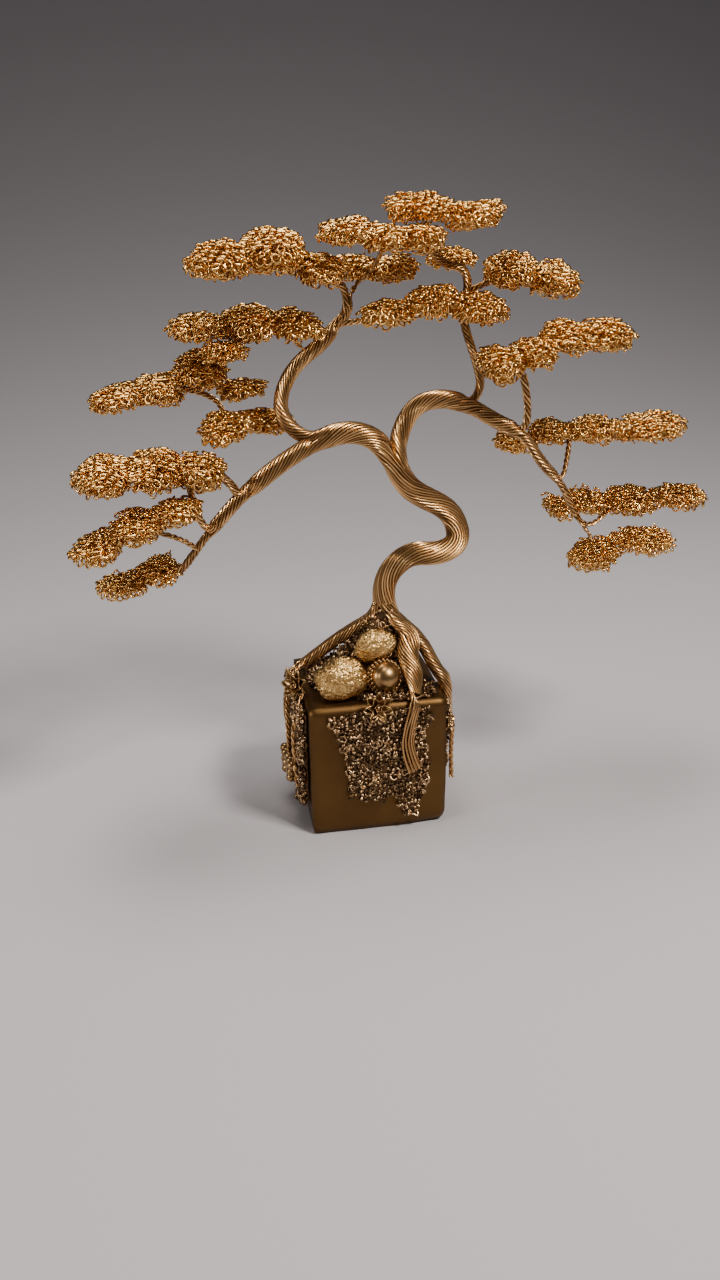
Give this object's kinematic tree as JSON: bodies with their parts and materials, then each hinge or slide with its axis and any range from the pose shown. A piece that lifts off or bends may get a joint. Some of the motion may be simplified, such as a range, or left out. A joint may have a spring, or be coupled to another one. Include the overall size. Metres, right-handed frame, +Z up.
{
  "type": "wire bonsai tree of life on a clay block",
  "caption": "Bonsai tree of twisted gold wire with foliage pads of small wire rings, its wire roots spread over a gold-painted clay block with nuggets, beads and roses.",
  "frame": {"origin": "centre of the block's underside", "axes": "+Z up from the block's underside through the tree, +X along the block's front face to the right, so the front looks along -Y"},
  "size_m": [0.2724, 0.082, 0.2599],
  "materials": {
    "gold_wire": "satin",
    "leaf_wire": "polished",
    "block_paint": "satin",
    "moss": "satin",
    "nugget": "polished",
    "bead": "satin"
  },
  "bodies": {
    "root": {"ball_bead": "bead", "bead_clusters": "bead", "bead_rim": "bead", "clay_block": "block_paint", "gold_nugget": "nugget", "left_branch": "gold_wire", "left_branch_tip": "gold_wire", "left_limb": "gold_wire", "left_limb_end": "gold_wire", "left_limb_middle": "gold_wire", "left_limb_tip": "gold_wire", "moss_front": "moss", "moss_left": "moss", "moss_right": "moss", "mound": "moss", "pad_centre": "leaf_wire", "pad_crown": "leaf_wire", "pad_left_broad": "leaf_wire", "pad_left_crown": "leaf_wire", "pad_left_drop": "leaf_wire", "pad_left_high": "leaf_wire", "pad_left_low": "leaf_wire", "pad_left_middle": "leaf_wire", "pad_right_broad": "leaf_wire", "pad_right_drop": "leaf_wire", "pad_right_high": "leaf_wire", "pad_right_low": "leaf_wire", "pad_right_middle": "leaf_wire", "pad_top_back": "leaf_wire", "pad_top_left": "leaf_wire", "right_branch": "gold_wire", "right_branch_tip": "gold_wire", "right_limb": "gold_wire", "right_limb_end": "gold_wire", "right_limb_outer": "gold_wire", "right_limb_tip": "gold_wire", "root_back": "gold_wire", "root_front": "gold_wire", "root_front_face": "gold_wire", "root_left": "gold_wire", "root_right": "gold_wire", "roses": "bead", "small_nugget": "nugget", "trunk": "gold_wire", "twig_centre": "gold_wire", "twig_crown": "gold_wire", "twig_left_crown": "gold_wire", "twig_left_drop": "gold_wire", "twig_left_high": "gold_wire", "twig_left_inner": "gold_wire", "twig_left_low": "gold_wire", "twig_left_middle": "gold_wire", "twig_left_outer": "gold_wire", "twig_right_broad": "gold_wire", "twig_right_drop": "gold_wire", "twig_right_high": "gold_wire", "twig_right_low": "gold_wire", "twig_right_middle": "gold_wire", "twig_small": "gold_wire", "twig_top_left": "gold_wire"}
  },
  "joints": []
}
